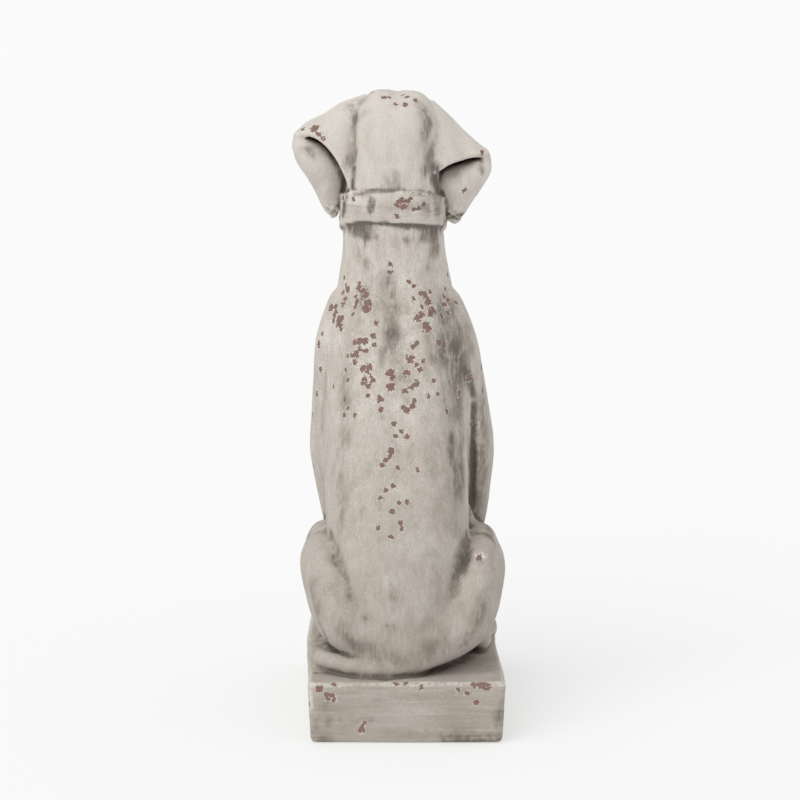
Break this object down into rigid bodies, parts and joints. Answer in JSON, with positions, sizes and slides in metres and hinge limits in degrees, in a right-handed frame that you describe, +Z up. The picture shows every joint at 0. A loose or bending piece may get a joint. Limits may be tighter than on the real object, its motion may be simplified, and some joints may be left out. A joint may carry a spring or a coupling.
{
  "type": "outdoor dog statue",
  "caption": "Tall sitting hound with hanging ears and a collar, on a rectangular plinth, cast in one piece; a free-standing garden figure that rests on its flat underside.",
  "frame": {"origin": "the middle of the plinth's underside", "axes": "+Z up through the dog's head; -Y is the way the dog faces; +X is the dog's left"},
  "size_m": [0.2339, 0.3217, 0.6896],
  "materials": {
    "weathered_whitewash": "rough, weathered whitewash over fired clay"
  },
  "bodies": {
    "root": {"dog_statue": "weathered_whitewash"}
  },
  "joints": []
}
